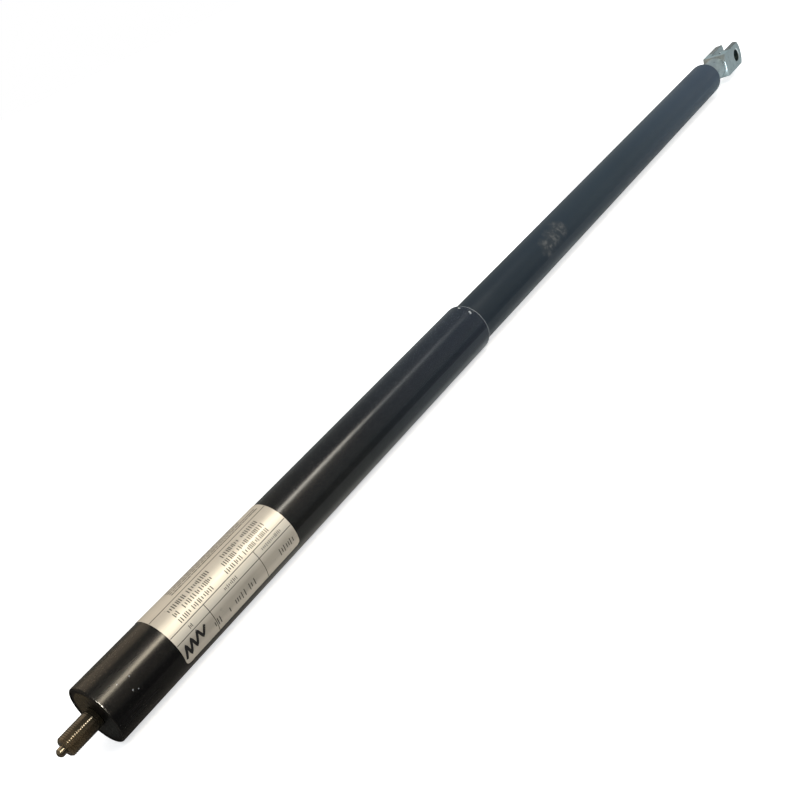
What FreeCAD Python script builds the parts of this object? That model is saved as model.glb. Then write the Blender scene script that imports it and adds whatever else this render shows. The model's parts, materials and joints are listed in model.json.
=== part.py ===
"""Lockable gas spring with a protective tube, a fork head and a threaded rod end.

The frame has its origin at the centre of the fork's pin hole. +X runs along the
spring towards the threaded end of the rod, the pin hole lies along Y, and +Z is up.
The spring is drawn fully extended. All sizes are in millimetres.
"""
import FreeCAD
import Part
import Sketcher
import math
import os

Vector = FreeCAD.Vector

# Two lengths closer than this, in mm, count as the same.
SAME = 1e-4

SIZES = {
    # travel and clearances
    "stroke": 250.0,
    "release_travel": 2.5,
    "running_fit": 0.05,
    "running_gap": 0.3,
    # fork head
    "fork_length": 50.0,
    "fork_side": 20.0,
    "fork_tip": 12.0,
    "fork_tip_face": 8.0,
    "fork_tip_round": 10.0,
    "fork_tip_reach": 4.5,
    "slot_width": 10.0,
    "slot_depth": 20.0,
    "pin_hole_radius": 5.0,
    "hole_bevel": 0.5,
    "neck_radius": 9.5,
    "neck_length": 23.0,
    "neck_cone_angle": 65.0,
    "neck_bevel": 0.8,
    "cutter_margin": 1.0,
    # pressure tube and its base plug
    "cylinder_radius": 14.0,
    "cylinder_wall": 2.0,
    "end_roll": 2.0,
    "boss_radius": 8.25,
    "boss_length": 2.0,
    "stud_radius": 4.5,
    "stud_length": 26.0,
    "plug_length": 14.0,
    "plug_ring_place": 8.4,
    "seal_ring_section": 1.15,
    "seal_groove_room": 2.6,
    "bead_depth": 0.8,
    "bead_width": 3.0,
    # floating piston between the gas and the oil
    "gas_room": 105.6,
    "float_length": 20.0,
    "float_cup_wall": 3.0,
    "float_cup_depth": 6.0,
    "float_cup_taper": 1.0,
    "float_ring_place": 12.0,
    "oil_room": 5.4,
    # piston
    "piston_gap": 0.4,
    "seal_offset": 6.0,
    "seal_groove_width": 4.0,
    "seal_notch_depth": 1.6,
    "seal_groove_depth": 2.4,
    "groove_land": 5.5,
    "band_offset": 4.5,
    "band_width": 6.0,
    "band_groove_depth": 1.2,
    "port_radius": 0.75,
    "port_circle": 6.6,
    "port_count": 2.0,
    # release valve in the piston
    "cap_radius": 7.5,
    "cap_wall": 1.5,
    "cap_seat_depth": 3.0,
    "cap_room": 1.0,
    "stem_radius": 3.0,
    "stem_waist": 2.0,
    "stem_head": 2.85,
    "stem_land": 0.8,
    "stem_ring_section": 0.5,
    "stem_groove_room": 1.6,
    "seat_bevel": 1.3,
    "seat_gap": 0.15,
    # rod
    "rod_radius": 5.0,
    "spigot_radius": 4.0,
    "stem_gap": 0.5,
    "release_radius": 2.1,
    "release_reach": 3.8,
    "release_dome": 1.3,
    "release_dome_radius": 2.35,
    "thread_length": 17.6,
    "thread_bevel": 0.8,
    "thread_relief_depth": 0.5,
    "thread_relief_width": 1.5,
    # pieces that close the pressure tube round the rod
    "end_washer_thickness": 2.0,
    "rod_opening": 2.5,
    "guide_length": 15.0,
    "rod_seal_length": 6.0,
    "lip_thickness": 1.6,
    "lip_depth": 3.0,
    "lip_root": 2.2,
    "support_thickness": 2.0,
    "stop_ring_length": 11.7,
    "stop_ring_wall": 2.9,
    "stop_ring_flange": 6.0,
    # protective tube
    "cover_radius": 16.0,
    "cover_wall": 1.0,
    "cover_roll": 0.7,
    "cover_overlap": 44.6,
    "cover_edge": 0.8,
    "cover_lip_gap": 0.25,
    "end_room": 21.6,
    "end_plate_thickness": 3.0,
    "end_plate_recess": 0.3,
    "guide_ring_length": 7.5,
    "guide_ring_gap": 0.1,
    "clamp_washer_radius": 9.0,
    "clamp_washer_thickness": 2.0,
    "circlip_thickness": 1.0,
    "circlip_depth": 0.4,
    "circlip_width": 1.9,
    "circlip_opening": 60.0,
    # label
    "label_length": 82.3,
    "label_thickness": 0.1,
    "label_glue": 0.05,
    "label_from_end": 39.8,
    "label_up": 129.5,
    "label_down": 28.5,
}

# Places along the axis and radii that follow from the sizes, each from the ones before it.
PLACES = {
    "bore": "Sizes.cylinder_radius - Sizes.cylinder_wall",
    "oil_share": "(Sizes.rod_radius / Places.bore) ^ 2",
    "tube_start": "Sizes.fork_length + Sizes.boss_length",
    "plug_start": "Places.tube_start + Sizes.cylinder_wall",
    "plug_end": "Places.plug_start + Sizes.plug_length",
    "float_start": "Places.plug_end + Sizes.gas_room + Places.oil_share * Sizes.stroke",
    "float_end": "Places.float_start + Sizes.float_length",
    "cap_end": "Places.float_end + Sizes.stroke * (1 - Places.oil_share) + Sizes.oil_room",
    "head_end": "Places.cap_end + Sizes.cap_wall + Sizes.cap_room + Sizes.release_travel",
    "head_top": "Places.head_end + Sizes.stem_head",
    "seat": "Places.head_top + Sizes.seat_gap",
    "piston_end": "Places.seat - Sizes.cap_seat_depth",
    "band_start": "Places.piston_end + Sizes.band_offset",
    "band_end": "Places.band_start + Sizes.band_width",
    "seal_start": "Places.band_end + Sizes.groove_land",
    "seal_end": "Places.seal_start + Sizes.seal_groove_width",
    "piston_face": "Places.seal_end + Sizes.seal_offset",
    "port": "Places.band_start + 2 * Sizes.port_radius",
    "land_start": "Places.port + Sizes.port_radius + Sizes.release_travel + Sizes.running_gap",
    "stem_groove": "Places.land_start + Sizes.stem_land",
    "stem_groove_end": "Places.stem_groove + Sizes.stem_groove_room",
    "stem_end": "Places.stem_groove_end + Sizes.stem_land",
    "spigot_end": "Places.stem_end + Sizes.stem_gap",
    "stop_start": "Places.piston_face + Sizes.running_gap",
    "bead_start": "Places.stop_start + Sizes.stop_ring_length - Sizes.bead_width",
    "bead_end": "Places.stop_start + Sizes.stop_ring_length",
    "seal_ring_start": "Places.bead_end + Sizes.support_thickness",
    "guide_start": "Places.seal_ring_start + Sizes.rod_seal_length",
    "guide_end": "Places.guide_start + Sizes.guide_length",
    "lip_inside": "Places.guide_end + Sizes.end_washer_thickness",
    "tube_end": "Places.lip_inside + Sizes.cylinder_wall",
    "cover_start": "Places.tube_end - Sizes.cover_overlap",
    "cover_end": "Places.tube_end + Sizes.stroke + Sizes.end_room",
    "plate_end": "Places.cover_end - Sizes.end_plate_recess",
    "plate_start": "Places.plate_end - Sizes.end_plate_thickness",
    "washer_start": "Places.plate_start - Sizes.clamp_washer_thickness",
    "circlip_start": "Places.washer_start - Sizes.circlip_thickness",
    "rod_end": "Places.cover_end + Sizes.thread_length",
    "release_end": "Places.rod_end + Sizes.release_reach",
    "cover_bore": "Sizes.cover_radius - Sizes.cover_wall",
    "cover_lip": "Sizes.cylinder_radius + Sizes.cover_lip_gap",
    "flat_rim": "Places.bore - Sizes.end_roll",
    "fill": "Places.bore - Sizes.running_fit",
    "rod_hole": "Sizes.rod_radius + Sizes.running_fit",
    "release_hole": "Sizes.release_radius + Sizes.running_fit",
    "stem_hole": "Sizes.stem_radius + Sizes.running_fit",
}

document = FreeCAD.newDocument("gas_spring")


def make_sheet():
    """The driving sizes, one cell and one alias each."""
    sheet = document.addObject("Spreadsheet::Sheet", "Sizes")
    for row, (name, value) in enumerate(SIZES.items(), start=1):
        sheet.set(f"A{row}", name)
        sheet.set(f"B{row}", str(value))
        sheet.setAlias(f"B{row}", name)
    document.recompute()


def make_places():
    """The places that follow from the sizes, each a property with its own formula."""
    places = document.addObject("App::VarSet", "Places")
    for name in PLACES:
        places.addProperty("App::PropertyFloat", name, "Places")
    for name, formula in PLACES.items():
        places.setExpression(name, formula)
    document.recompute()
    return places


make_sheet()
places = make_places()


def amount(formula):
    """The present value of a formula in the sizes and places."""
    value = places.evalExpression(str(formula))
    return float(getattr(value, "Value", value))


def origin_plane(body, role):
    return [feature for feature in body.Origin.OriginFeatures if feature.Role == role][0]


def new_body(label):
    body = document.addObject("PartDesign::Body", label)
    body.Label = label
    return body


def new_sketch(body, name, role="XY_Plane"):
    sketch = body.newObject("Sketcher::SketchObject", name)
    sketch.AttachmentSupport = [(origin_plane(body, role), "")]
    sketch.MapMode = "FlatFace"
    return sketch


def fix(sketch, kind, line, end, formula):
    """Holds one end of a line at a place measured from the sketch's origin."""
    value = amount(formula)
    if str(formula) == "0":
        axis = -2 if kind == "DistanceX" else -1
        sketch.addConstraint(Sketcher.Constraint("PointOnObject", line, end, axis))
        return
    index = sketch.addConstraint(Sketcher.Constraint(kind, -1, 1, line, end, value))
    sketch.setExpression(f"Constraints[{index}]", str(formula))


def arc_between(start, end, radius):
    """An arc of less than half a turn. A positive radius bends it anticlockwise."""
    chord = end - start
    middle = (start + end) * 0.5
    height = math.sqrt(max(radius * radius - chord.Length ** 2 / 4, 0.0))
    side = Vector(-chord.y, chord.x, 0).normalize() * math.copysign(1, radius)
    centre = middle + side * height
    first, last = (start, end) if radius > 0 else (end, start)
    from_angle = math.atan2(first.y - centre.y, first.x - centre.x)
    to_angle = math.atan2(last.y - centre.y, last.x - centre.x)
    circle = Part.Circle(centre, Vector(0, 0, 1), abs(radius))
    return Part.ArcOfCircle(circle, from_angle, to_angle)


def outline(sketch, points):
    """A closed outline. A point is (x, y), or (x, y, radius, turn) where an arc leads to it."""
    spots = [Vector(amount(point[0]), amount(point[1]), 0) for point in points]
    ends = []
    for index, point in enumerate(points):
        start = spots[index - 1]
        if len(point) == 2:
            line = sketch.addGeometry(Part.LineSegment(start, spots[index]), False)
            ends.append((line, 1, 2))
            continue
        arc = arc_between(start, spots[index], amount(point[2]) * point[3])
        line = sketch.addGeometry(arc, False)
        ends.append((line, 1, 2) if point[3] > 0 else (line, 2, 1))
        held = sketch.addConstraint(Sketcher.Constraint("Radius", line, amount(point[2])))
        sketch.setExpression(f"Constraints[{held}]", str(point[2]))
    for index, point in enumerate(points):
        line, _, last = ends[index]
        after, first, _ = ends[(index + 1) % len(ends)]
        sketch.addConstraint(Sketcher.Constraint("Coincident", line, last, after, first))
        fix(sketch, "DistanceX", line, last, point[0])
        fix(sketch, "DistanceY", line, last, point[1])


def turn(body, name, points, kind="PartDesign::Revolution"):
    """Turns an outline of (place along X, radius) points about the X axis."""
    sketch = new_sketch(body, name + "_profile")
    outline(sketch, points)
    feature = body.newObject(kind, name)
    feature.Profile = sketch
    feature.ReferenceAxis = (sketch, ["H_Axis"])
    feature.Angle = 360
    document.recompute()
    return feature


def turned(label, points):
    body = new_body(label)
    turn(body, label + "_turned", points)
    return body


def ring(label, start, end, inner, outer):
    return turned(label, [(start, inner), (end, inner), (end, outer), (start, outer)])


def circle_sketch(body, name, role, radius, across="0", up="0"):
    sketch = new_sketch(body, name, role)
    centre = Vector(amount(across), amount(up), 0)
    round_line = sketch.addGeometry(Part.Circle(centre, Vector(0, 0, 1), amount(radius)), False)
    held = sketch.addConstraint(Sketcher.Constraint("Radius", round_line, amount(radius)))
    sketch.setExpression(f"Constraints[{held}]", radius)
    fix(sketch, "DistanceX", round_line, 3, across)
    fix(sketch, "DistanceY", round_line, 3, up)
    return sketch


def seal_ring(label, centre, outer, section):
    """A soft ring squeezed into its groove, so its section has flattened sides."""
    start, end = f"{centre} - {section}", f"{centre} + {section}"
    inner = f"{outer} - 2 * {section}"
    nip = f"{section} * (1 - tan(22.5))"
    return turned(label, [
        (start, f"{inner} + {nip}"),
        (f"{start} + {nip}", inner),
        (f"{end} - {nip}", inner),
        (end, f"{inner} + {nip}"),
        (end, f"{outer} - {nip}"),
        (f"{end} - {nip}", outer),
        (f"{start} + {nip}", outer),
        (start, f"{outer} - {nip}"),
    ])


def cut(body, kind, name, sketch):
    """Makes a cutting feature and gives it with the volume before it, for check_cut."""
    document.recompute()
    before = body.Shape.Volume
    feature = body.newObject(kind, name)
    feature.Profile = sketch
    return feature, before


def check_cut(body, feature, before):
    document.recompute()
    if body.Shape.Volume > before - SAME:
        raise RuntimeError(f"{feature.Label} cut nothing")


def edges_where(body, accept):
    names = []
    for index, edge in enumerate(body.Shape.Edges, start=1):
        if accept(edge):
            names.append(f"Edge{index}")
    return names


def is_ring(edge, radius, place=None, axis=0):
    """Is this edge a circle of a radius about the X, Y or Z axis, at a place along it?"""
    curve = edge.Curve
    if not isinstance(curve, Part.Circle) or abs(curve.Radius - radius) > SAME:
        return False
    return place is None or abs(abs(curve.Center[axis]) - abs(place)) < SAME


def dress(body, kind, name, edges, size, formula):
    """A fillet or chamfer along the edges."""
    if not edges:
        raise RuntimeError(f"{name} found no edge")
    base = body.Tip
    feature = body.newObject(kind, name)
    feature.Base = (base, edges)
    setattr(feature, size, amount(formula))
    feature.setExpression(size, formula)
    document.recompute()
    return feature


def make_clevis():
    """Square bar with a turned neck and tip, a slot and a pin hole."""
    body = new_body("clevis")
    bar = new_sketch(body, "clevis_square", "YZ_Plane")
    half = "Sizes.fork_side / 2"
    outline(bar, [(half, half), (f"-{half}", half), (f"-{half}", f"-{half}"), (half, f"-{half}")])
    pad = body.newObject("PartDesign::Pad", "clevis_bar")
    pad.Profile = bar
    pad.SideType = "Two sides"
    pad.setExpression("Length", "Sizes.fork_length")
    pad.setExpression("Length2", "Sizes.fork_tip")
    document.recompute()

    outside = "(Sizes.fork_side / sqrt(2) + Sizes.cutter_margin)"
    beyond = "Sizes.fork_length + Sizes.cutter_margin"
    cone = f"({outside} - Sizes.neck_radius) / tan(Sizes.neck_cone_angle)"
    neck_start = "Sizes.fork_length - Sizes.neck_length"
    sketch = new_sketch(body, "clevis_neck_profile")
    outline(sketch, [
        (f"{neck_start} - {cone}", outside),
        (neck_start, "Sizes.neck_radius"),
        ("Sizes.fork_length - Sizes.neck_bevel", "Sizes.neck_radius"),
        ("Sizes.fork_length", "Sizes.neck_radius - Sizes.neck_bevel"),
        (beyond, "Sizes.neck_radius - Sizes.neck_bevel"),
        (beyond, outside),
    ])
    neck, before = cut(body, "PartDesign::Groove", "clevis_neck", sketch)
    neck.ReferenceAxis = (sketch, ["H_Axis"])
    neck.Angle = 360
    check_cut(body, neck, before)

    sketch = new_sketch(body, "clevis_tip_profile")
    ahead = "-Sizes.fork_tip - Sizes.cutter_margin"
    shoulder = "-Sizes.fork_tip + Sizes.fork_tip_reach"
    corner = "Sizes.fork_side / sqrt(2)"
    outline(sketch, [
        (ahead, "Sizes.fork_tip_face"),
        ("-Sizes.fork_tip", "Sizes.fork_tip_face"),
        (shoulder, corner, "Sizes.fork_tip_round", -1),
        (shoulder, outside),
        (ahead, outside),
    ])
    tip, before = cut(body, "PartDesign::Groove", "clevis_tip", sketch)
    tip.ReferenceAxis = (sketch, ["H_Axis"])
    tip.Angle = 360
    check_cut(body, tip, before)

    sketch = new_sketch(body, "clevis_slot_profile")
    slot_half = "Sizes.slot_width / 2"
    outline(sketch, [
        ("Sizes.slot_depth", f"-{slot_half}"),
        ("Sizes.slot_depth", slot_half),
        (ahead, slot_half),
        (ahead, f"-{slot_half}"),
    ])
    slot, before = cut(body, "PartDesign::Pocket", "clevis_slot", sketch)
    slot.Type = "ThroughAll"
    slot.SideType = "Symmetric"
    check_cut(body, slot, before)

    sketch = circle_sketch(body, "clevis_hole_profile", "XZ_Plane", "Sizes.pin_hole_radius")
    hole, before = cut(body, "PartDesign::Pocket", "clevis_hole", sketch)
    hole.Type = "ThroughAll"
    hole.SideType = "Symmetric"
    check_cut(body, hole, before)

    sketch = new_sketch(body, "clevis_socket_profile")
    socket = "Sizes.stud_radius + Sizes.running_fit"
    outline(sketch, [
        ("Sizes.slot_depth", "0"),
        (beyond, "0"),
        (beyond, socket),
        ("Sizes.slot_depth", socket),
    ])
    bore, before = cut(body, "PartDesign::Groove", "clevis_socket", sketch)
    bore.ReferenceAxis = (sketch, ["H_Axis"])
    bore.Angle = 360
    check_cut(body, bore, before)

    radius = amount("Sizes.pin_hole_radius")
    rims = edges_where(body, lambda edge: is_ring(edge, radius, amount(half), 1))
    dress(body, "PartDesign::Chamfer", "clevis_hole_bevel", rims, "Size", "Sizes.hole_bevel")
    return body


def make_pressure_tube():
    """Drawn tube, rolled in at both ends, with a bead that carries the rod seals."""
    bead = "((Sizes.bead_width / 2) ^ 2 + Sizes.bead_depth ^ 2) / (2 * Sizes.bead_depth)"
    bead_middle = "Places.bead_start + Sizes.bead_width / 2"
    outer, bore = "Sizes.cylinder_radius", "Places.bore"
    roll = "Sizes.end_roll + Sizes.cylinder_wall"
    boss_hole = "Sizes.boss_radius + Sizes.running_fit"
    rod_hole = "Sizes.rod_radius + Sizes.rod_opening"
    return turned("pressure_tube", [
        ("Places.tube_start", boss_hole),
        ("Places.plug_start", boss_hole),
        ("Places.plug_start", "Places.flat_rim"),
        ("Places.plug_start + Sizes.end_roll", bore, "Sizes.end_roll", -1),
        ("Places.bead_start", bore),
        (bead_middle, f"{bore} - Sizes.bead_depth", bead, 1),
        ("Places.bead_end", bore, bead, 1),
        ("Places.lip_inside - Sizes.end_roll", bore),
        ("Places.lip_inside", "Places.flat_rim", "Sizes.end_roll", -1),
        ("Places.lip_inside", rod_hole),
        ("Places.tube_end", rod_hole),
        ("Places.tube_end", "Places.flat_rim"),
        (f"Places.tube_end - ({roll})", outer, roll, 1),
        ("Places.bead_end", outer),
        (bead_middle, f"{outer} - Sizes.bead_depth", bead, -1),
        ("Places.bead_start", outer, bead, -1),
        (f"Places.tube_start + {roll}", outer),
        ("Places.tube_start", "Places.flat_rim", roll, 1),
    ])


def ring_groove(start, end, outer, depth):
    """The four outline points of a square groove, going towards -X."""
    return [(end, outer), (end, f"{outer} - ({depth})"), (start, f"{outer} - ({depth})"),
            (start, outer)]


SEAL_DEPTH = "2 * Sizes.seal_ring_section + Sizes.running_fit"
SEAL_WIDTH = "Sizes.seal_groove_room"


def make_base_plug():
    """Plug that closes the far end of the tube and carries the fork on its stud."""
    middle = "Places.plug_start + Sizes.plug_ring_place"
    bevel = "Sizes.end_roll + Sizes.running_fit"
    tip = "Sizes.fork_length - Sizes.stud_length"
    return turned("base_plug", [
        (tip, "0"),
        ("Places.plug_end", "0"),
        ("Places.plug_end", "Places.fill"),
        *ring_groove(f"{middle} - {SEAL_WIDTH} / 2", f"{middle} + {SEAL_WIDTH} / 2",
                     "Places.fill", SEAL_DEPTH),
        (f"Places.plug_start + {bevel}", "Places.fill"),
        ("Places.plug_start", f"Places.fill - ({bevel})"),
        ("Places.plug_start", "Sizes.boss_radius"),
        ("Sizes.fork_length", "Sizes.boss_radius"),
        ("Sizes.fork_length", "Sizes.stud_radius"),
        (f"{tip} + Sizes.thread_bevel", "Sizes.stud_radius"),
        (tip, "Sizes.stud_radius - Sizes.thread_bevel"),
    ])


def make_floating_piston():
    """Cup-shaped piston that keeps the gas apart from the oil."""
    middle = "Places.float_start + Sizes.float_ring_place"
    cup = "Places.fill - Sizes.float_cup_wall"
    cup_floor = "Places.float_start + Sizes.float_cup_depth"
    return turned("floating_piston", [
        (cup_floor, "0"),
        ("Places.float_end", "0"),
        ("Places.float_end", "Places.fill - Sizes.thread_bevel"),
        ("Places.float_end - Sizes.thread_bevel", "Places.fill"),
        *ring_groove(f"{middle} - {SEAL_WIDTH} / 2", f"{middle} + {SEAL_WIDTH} / 2",
                     "Places.fill", SEAL_DEPTH),
        ("Places.float_start + Sizes.thread_bevel", "Places.fill"),
        ("Places.float_start", "Places.fill - Sizes.thread_bevel"),
        ("Places.float_start", cup),
        (cup_floor, f"{cup} - Sizes.float_cup_taper"),
    ])


def make_piston_body():
    """Piston with a seal groove, a guide band groove, a valve seat and oil ports."""
    outer = "Places.bore - Sizes.piston_gap"
    cap_seat = "Sizes.cap_radius + Sizes.running_fit"
    spigot_hole = "Sizes.spigot_radius + Sizes.running_fit"
    body = turned("piston_body", [
        ("Places.piston_end", cap_seat),
        ("Places.seat", cap_seat),
        ("Places.seat", "Places.stem_hole + Sizes.seat_bevel"),
        ("Places.seat + Sizes.seat_bevel", "Places.stem_hole"),
        ("Places.spigot_end", "Places.stem_hole"),
        ("Places.spigot_end", spigot_hole),
        ("Places.piston_face", spigot_hole),
        ("Places.piston_face", f"{outer} - Sizes.thread_bevel"),
        ("Places.piston_face - Sizes.thread_bevel", outer),
        *ring_groove("Places.seal_start", "Places.seal_end", outer, "Sizes.seal_groove_depth"),
        *ring_groove("Places.band_start", "Places.band_end", outer, "Sizes.band_groove_depth"),
        ("Places.piston_end", outer),
    ])
    sketch = circle_sketch(body, "piston_port_profile", "YZ_Plane", "Sizes.port_radius",
                           "0", "Sizes.port_circle")
    sketch.setExpression("AttachmentOffset.Base.z", "Places.piston_face")
    port, before = cut(body, "PartDesign::Pocket", "piston_port", sketch)
    port.setExpression("Length", "Places.piston_face - Places.port")
    check_cut(body, port, before)
    sketch = circle_sketch(body, "piston_cross_port_profile", "XY_Plane", "Sizes.port_radius",
                           "Places.port", "0")
    cross, before = cut(body, "PartDesign::Pocket", "piston_cross_port", sketch)
    cross.Type = "ThroughAll"
    cross.Reversed = True
    check_cut(body, cross, before)
    pattern = body.newObject("PartDesign::PolarPattern", "piston_ports")
    pattern.Originals = [port, cross]
    pattern.Axis = (origin_plane(body, "X_Axis"), [""])
    pattern.Angle = 360
    pattern.setExpression("Occurrences", "Sizes.port_count")
    body.Tip = pattern
    document.recompute()
    return body


def make_piston_seal():
    """Lipped seal ring, open towards the oil on the rod's side."""
    inner = "Places.bore - Sizes.piston_gap - Sizes.seal_groove_depth + Sizes.running_fit * 2"
    start = "Places.seal_start + Sizes.running_fit * 2"
    end = "Places.seal_end - Sizes.running_fit * 2"
    notch = f"({inner} + Places.fill) / 2"
    return turned("piston_seal_ring", [
        (start, inner),
        (end, inner),
        (f"{end} - Sizes.seal_notch_depth", notch),
        (end, "Places.fill"),
        (start, "Places.fill"),
    ])


def make_guide_band():
    inner = "Places.bore - Sizes.piston_gap - Sizes.band_groove_depth + Sizes.running_fit"
    return ring("piston_guide_band", "Places.band_start + Sizes.running_fit",
                "Places.band_end - Sizes.running_fit", inner, "Places.fill")


def make_valve_stem():
    """Poppet whose cone closes the seat from below and which the release pin pushes open."""
    cone_top = "Places.stem_hole + Sizes.seat_bevel"
    groove = "Sizes.stem_radius - 2 * Sizes.stem_ring_section - Sizes.running_fit"
    return turned("valve_stem", [
        ("Places.head_end", "0"),
        ("Places.stem_end", "0"),
        ("Places.stem_end", "Sizes.stem_radius"),
        ("Places.stem_groove_end", "Sizes.stem_radius"),
        ("Places.stem_groove_end", groove),
        ("Places.stem_groove", groove),
        ("Places.stem_groove", "Sizes.stem_radius"),
        ("Places.land_start", "Sizes.stem_radius"),
        ("Places.land_start", "Sizes.stem_waist"),
        (f"Places.head_top + {cone_top} - Sizes.stem_waist", "Sizes.stem_waist"),
        ("Places.head_top", cone_top),
        ("Places.head_end", cone_top),
    ])


def make_valve_cap():
    """Perforated cup that keeps the poppet's head in front of its seat."""
    return turned("valve_cap", [
        ("Places.cap_end", "Sizes.stem_radius"),
        ("Places.cap_end + Sizes.cap_wall", "Sizes.stem_radius"),
        ("Places.cap_end + Sizes.cap_wall", "Sizes.cap_radius - Sizes.cap_wall"),
        ("Places.seat", "Sizes.cap_radius - Sizes.cap_wall"),
        ("Places.seat", "Sizes.cap_radius"),
        ("Places.cap_end + Sizes.thread_bevel", "Sizes.cap_radius"),
        ("Places.cap_end", "Sizes.cap_radius - Sizes.thread_bevel"),
    ])


def make_piston_rod():
    """Hollow rod with a spigot for the piston, a circlip groove and a threaded end."""
    relief = "Sizes.rod_radius - Sizes.thread_relief_depth"
    clip_end = "Places.circlip_start - Sizes.running_fit * 2"
    clip_floor = "Sizes.rod_radius - Sizes.circlip_depth"
    return turned("piston_rod", [
        ("Places.spigot_end", "Places.release_hole"),
        ("Places.rod_end", "Places.release_hole"),
        ("Places.rod_end", "Sizes.rod_radius - Sizes.thread_bevel"),
        ("Places.rod_end - Sizes.thread_bevel", "Sizes.rod_radius"),
        ("Places.cover_end", "Sizes.rod_radius"),
        ("Places.cover_end", relief),
        ("Places.cover_end - Sizes.thread_relief_width", relief),
        ("Places.cover_end - Sizes.thread_relief_width", "Sizes.rod_radius"),
        ("Places.washer_start", "Sizes.rod_radius"),
        ("Places.washer_start", clip_floor),
        (clip_end, clip_floor),
        (clip_end, "Sizes.rod_radius"),
        ("Places.piston_face", "Sizes.rod_radius"),
        ("Places.piston_face", "Sizes.spigot_radius"),
        ("Places.spigot_end", "Sizes.spigot_radius"),
    ])


def make_release_pin():
    """Push rod through the hollow rod, with a domed tip."""
    return turned("release_pin", [
        ("Places.stem_end", "0"),
        ("Places.release_end", "0"),
        ("Places.release_end - Sizes.release_dome", "Sizes.release_radius",
         "Sizes.release_dome_radius", 1),
        ("Places.stem_end", "Sizes.release_radius"),
    ])


def make_rod_guide():
    """Guide bush, bevelled where the tube's wall is rolled in behind it."""
    bevel = "Sizes.end_roll + Sizes.running_fit"
    return turned("rod_guide", [
        ("Places.guide_start", "Places.rod_hole"),
        ("Places.guide_end", "Places.rod_hole"),
        ("Places.guide_end", f"Places.fill - ({bevel})"),
        (f"Places.guide_end - ({bevel})", "Places.fill"),
        ("Places.guide_start", "Places.fill"),
    ])


def make_rod_seal():
    """Double-lipped seal, open towards the oil."""
    lip = "Sizes.lip_thickness"
    floor = "Places.seal_ring_start + Sizes.lip_depth"
    return turned("rod_seal", [
        ("Places.seal_ring_start", "Places.rod_hole"),
        ("Places.guide_start", "Places.rod_hole"),
        ("Places.guide_start", "Places.fill"),
        ("Places.seal_ring_start", "Places.fill"),
        ("Places.seal_ring_start", f"Places.fill - {lip}"),
        (floor, "Places.fill - Sizes.lip_root"),
        (floor, "Places.rod_hole + Sizes.lip_root"),
        ("Places.seal_ring_start", f"Places.rod_hole + {lip}"),
    ])


def make_stop_ring():
    """Soft ring that the piston meets at full extension, clear of its oil ports."""
    outer = "Places.bore - Sizes.bead_depth - Sizes.running_gap"
    flange = "Places.bead_end - Sizes.stop_ring_flange"
    return turned("end_stop_ring", [
        (flange, "Places.rod_hole"),
        ("Places.bead_end", "Places.rod_hole"),
        ("Places.bead_end", outer),
        ("Places.stop_start", outer),
        ("Places.stop_start", f"{outer} - Sizes.stop_ring_wall"),
        (flange, f"{outer} - Sizes.stop_ring_wall"),
    ])


def make_protective_tube():
    """Outer tube, rolled in at its open end until it nearly meets the pressure tube."""
    roll = "Sizes.cover_roll + Sizes.cover_wall"
    outer, bore = "Sizes.cover_radius", "Places.cover_bore"
    edge = "Sizes.cover_edge"
    return turned("protective_tube", [
        ("Places.cover_start", "Places.cover_lip"),
        ("Places.cover_start + Sizes.cover_wall", "Places.cover_lip"),
        (f"Places.cover_start + {roll}", bore),
        ("Places.cover_end", bore),
        ("Places.cover_end", f"{outer} - {edge}"),
        (f"Places.cover_end - {edge}", outer, edge, 1),
        (f"Places.cover_start + {roll}", outer),
        ("Places.cover_start", f"{outer} - ({roll})", roll, 1),
    ])


def make_end_plate():
    """Disc that closes the protective tube and is clamped on the rod."""
    outer = "Places.cover_bore - Sizes.running_fit"
    return ring("tube_end_plate", "Places.plate_start", "Places.plate_end",
                "Places.rod_hole", outer)


def make_guide_ring():
    """Plastic ring behind the rolled edge, which runs on the pressure tube."""
    start = "Places.cover_start + Sizes.cover_wall + Sizes.cover_roll + Sizes.running_fit"
    return ring("guide_ring", start, f"{start} + Sizes.guide_ring_length",
                "Sizes.cylinder_radius + Sizes.guide_ring_gap",
                "Places.cover_bore - Sizes.running_fit")


def make_circlip():
    """Open ring in the rod's groove, which backs the clamp washer."""
    inner = "Sizes.rod_radius - Sizes.circlip_depth + Sizes.running_fit"
    body = ring("rod_circlip", "Places.circlip_start", "Places.washer_start",
                inner, f"{inner} + Sizes.circlip_width")
    body.Tip.setExpression("Angle", "360 - Sizes.circlip_opening")
    return body


def make_label():
    """Foil label, part of a turn of a thin ring."""
    start = "Places.cover_end - Sizes.label_from_end - Sizes.label_length"
    inner = "Sizes.cover_radius + Sizes.label_glue"
    body = ring("foil_label", start, f"{start} + Sizes.label_length",
                inner, f"{inner} + Sizes.label_thickness")
    body.Tip.Type = "TwoAngles"
    body.Tip.setExpression("Angle", "Sizes.label_up")
    body.Tip.setExpression("Angle2", "Sizes.label_down")
    return body


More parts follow.
